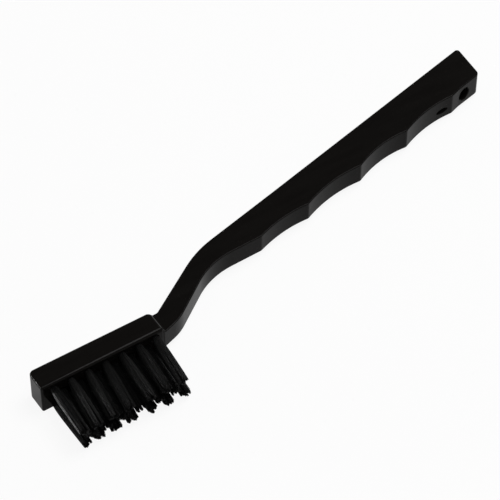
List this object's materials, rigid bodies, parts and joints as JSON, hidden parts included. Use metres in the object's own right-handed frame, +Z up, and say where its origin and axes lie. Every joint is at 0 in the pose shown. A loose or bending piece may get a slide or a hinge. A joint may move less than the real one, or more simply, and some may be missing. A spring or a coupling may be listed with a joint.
{
  "type": "anti-static brush",
  "caption": "Slim one-piece anti-static hand brush: straight bristle head with staggered rows of stapled tufts, bent neck, and a handle with finger grips and a hanging hole.",
  "frame": {"origin": "middle of the head's flat lower side face, on which the brush lies", "axes": "+X along the head from its free end towards the handle, +Y out of the back of the head, opposite to the bristles, +Z up, square to the side faces"},
  "size_m": [0.1767, 0.0655, 0.0104],
  "materials": {
    "handle": "black moulded carbon-filled plastic with a soft satin sheen",
    "bristle": "black conductive nylon filament, satin",
    "anchor": "drawn flat brass wire"
  },
  "bodies": {
    "root": {"handle": "handle", "tuft_row1_1": "bristle", "tuft_row1_2": "bristle", "tuft_row1_3": "bristle", "tuft_row1_4": "bristle", "tuft_row1_5": "bristle", "tuft_row1_6": "bristle", "tuft_row1_7": "bristle", "tuft_row2_1": "bristle", "tuft_row2_2": "bristle", "tuft_row2_3": "bristle", "tuft_row2_4": "bristle", "tuft_row2_5": "bristle", "tuft_row2_6": "bristle", "tuft_row3_1": "bristle", "tuft_row3_2": "bristle", "tuft_row3_3": "bristle", "tuft_row3_4": "bristle", "tuft_row3_5": "bristle", "tuft_row3_6": "bristle", "tuft_row3_7": "bristle", "anchor_row1_1": "anchor", "anchor_row1_2": "anchor", "anchor_row1_3": "anchor", "anchor_row1_4": "anchor", "anchor_row1_5": "anchor", "anchor_row1_6": "anchor", "anchor_row1_7": "anchor", "anchor_row2_1": "anchor", "anchor_row2_2": "anchor", "anchor_row2_3": "anchor", "anchor_row2_4": "anchor", "anchor_row2_5": "anchor", "anchor_row2_6": "anchor", "anchor_row3_1": "anchor", "anchor_row3_2": "anchor", "anchor_row3_3": "anchor", "anchor_row3_4": "anchor", "anchor_row3_5": "anchor", "anchor_row3_6": "anchor", "anchor_row3_7": "anchor"}
  },
  "joints": []
}
